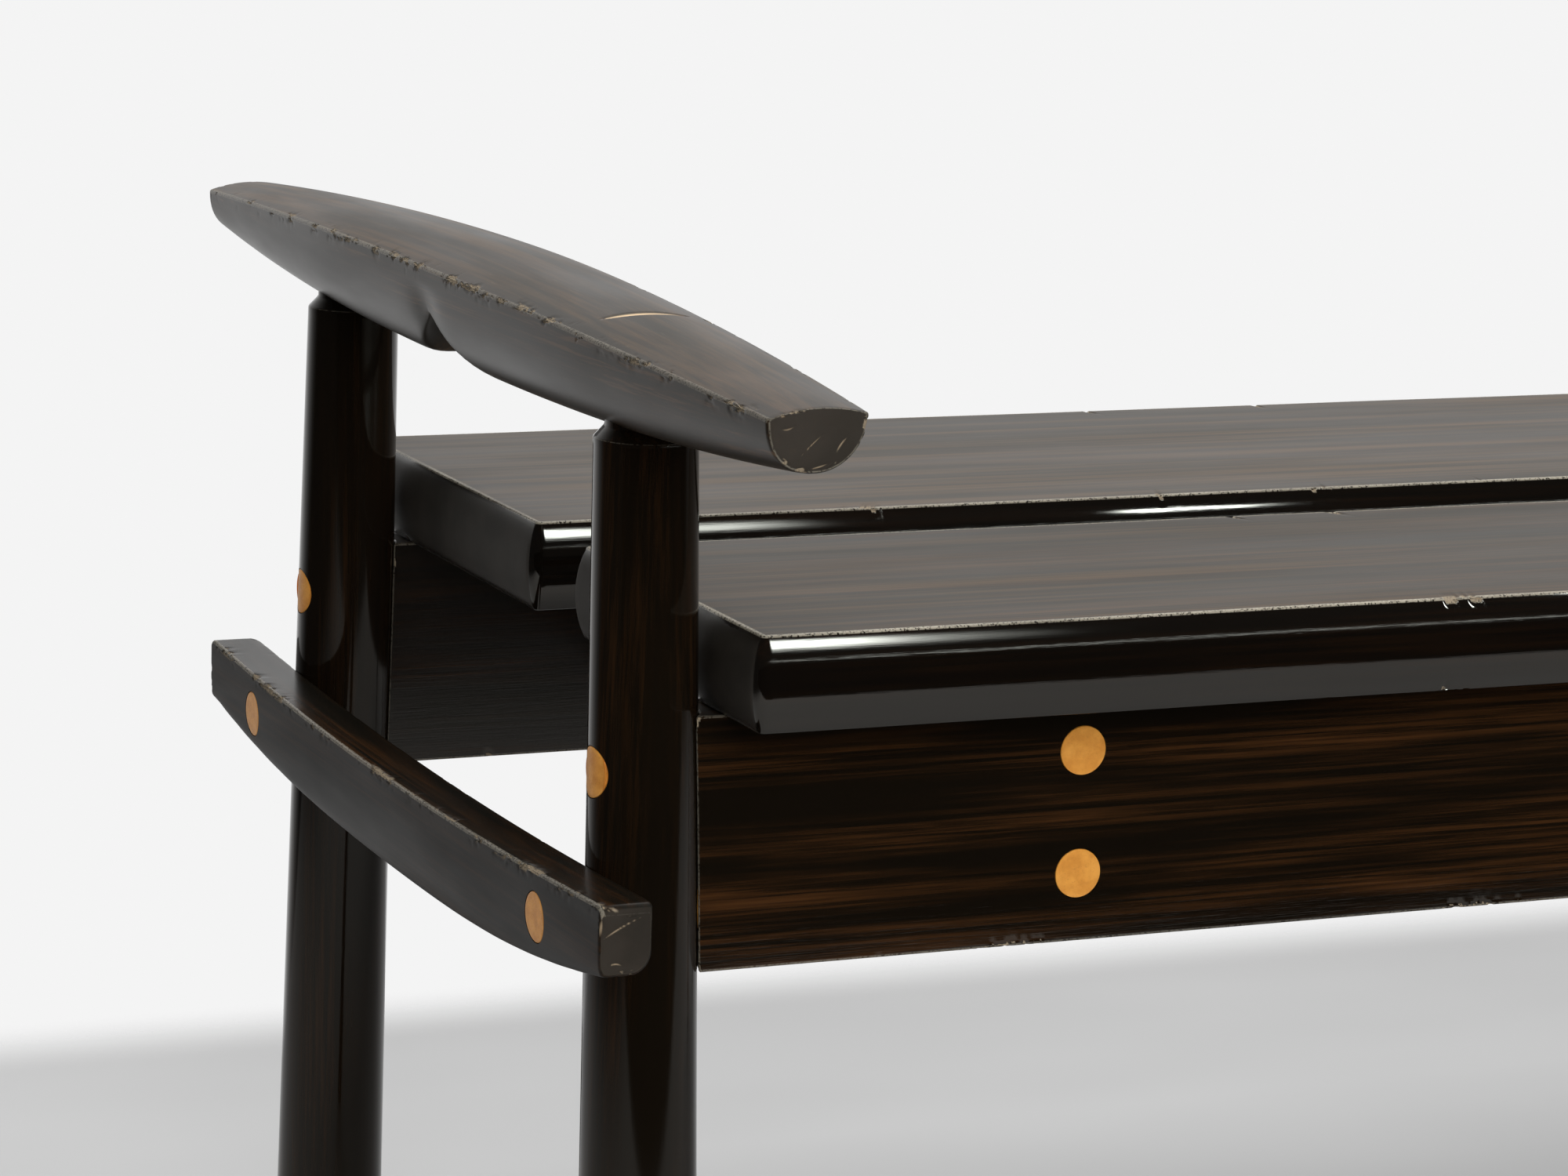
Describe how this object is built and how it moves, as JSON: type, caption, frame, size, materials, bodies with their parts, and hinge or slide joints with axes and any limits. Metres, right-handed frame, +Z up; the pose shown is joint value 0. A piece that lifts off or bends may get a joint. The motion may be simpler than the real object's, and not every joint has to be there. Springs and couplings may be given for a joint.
{
  "type": "bench",
  "caption": "Low plank bench; at each end round splayed posts carry a carved lens-shaped bar above the seat and a sickle-shaped stretcher below it, with pale dowels.",
  "frame": {"origin": "on the floor under the middle of the bench", "axes": "+X along the bench, -Y towards the front, +Z up"},
  "size_m": [1.1884, 0.676, 0.5496],
  "materials": {
    "dark_wood": "near-black ebonised hardwood with faint brown streaks, lacquered, rubbed dull on top",
    "dowel_wood": "honey-coloured end grain, satin"
  },
  "bodies": {
    "root": {"seat_plank_front": "dark_wood", "seat_plank_back": "dark_wood", "head_bar_left": "dark_wood", "end_stretcher_left": "dark_wood", "post_left_front": "dark_wood", "post_left_back": "dark_wood", "head_bar_right": "dark_wood", "end_stretcher_right": "dark_wood", "post_right_front": "dark_wood", "post_right_back": "dark_wood", "long_rail_front": "dark_wood", "long_rail_back": "dark_wood", "bearer_left": "dark_wood", "bearer_middle": "dark_wood", "bearer_right": "dark_wood", "post_dowel_left_front_upper": "dowel_wood", "post_dowel_left_front_lower": "dowel_wood", "post_dowel_left_back_upper": "dowel_wood", "post_dowel_left_back_lower": "dowel_wood", "post_dowel_right_front_upper": "dowel_wood", "post_dowel_right_front_lower": "dowel_wood", "post_dowel_right_back_upper": "dowel_wood", "post_dowel_right_back_lower": "dowel_wood", "bearer_dowel_left_front_upper": "dowel_wood", "bearer_dowel_left_front_lower": "dowel_wood", "seat_dowel_left_front_1": "dowel_wood", "seat_dowel_left_front_2": "dowel_wood", "bearer_dowel_left_back_upper": "dowel_wood", "bearer_dowel_left_back_lower": "dowel_wood", "seat_dowel_left_back_1": "dowel_wood", "seat_dowel_left_back_2": "dowel_wood", "bearer_dowel_middle_front_upper": "dowel_wood", "bearer_dowel_middle_front_lower": "dowel_wood", "seat_dowel_middle_front_1": "dowel_wood", "seat_dowel_middle_front_2": "dowel_wood", "bearer_dowel_middle_back_upper": "dowel_wood", "bearer_dowel_middle_back_lower": "dowel_wood", "seat_dowel_middle_back_1": "dowel_wood", "seat_dowel_middle_back_2": "dowel_wood", "bearer_dowel_right_front_upper": "dowel_wood", "bearer_dowel_right_front_lower": "dowel_wood", "seat_dowel_right_front_1": "dowel_wood", "seat_dowel_right_front_2": "dowel_wood", "bearer_dowel_right_back_upper": "dowel_wood", "bearer_dowel_right_back_lower": "dowel_wood", "seat_dowel_right_back_1": "dowel_wood", "seat_dowel_right_back_2": "dowel_wood"}
  },
  "joints": []
}
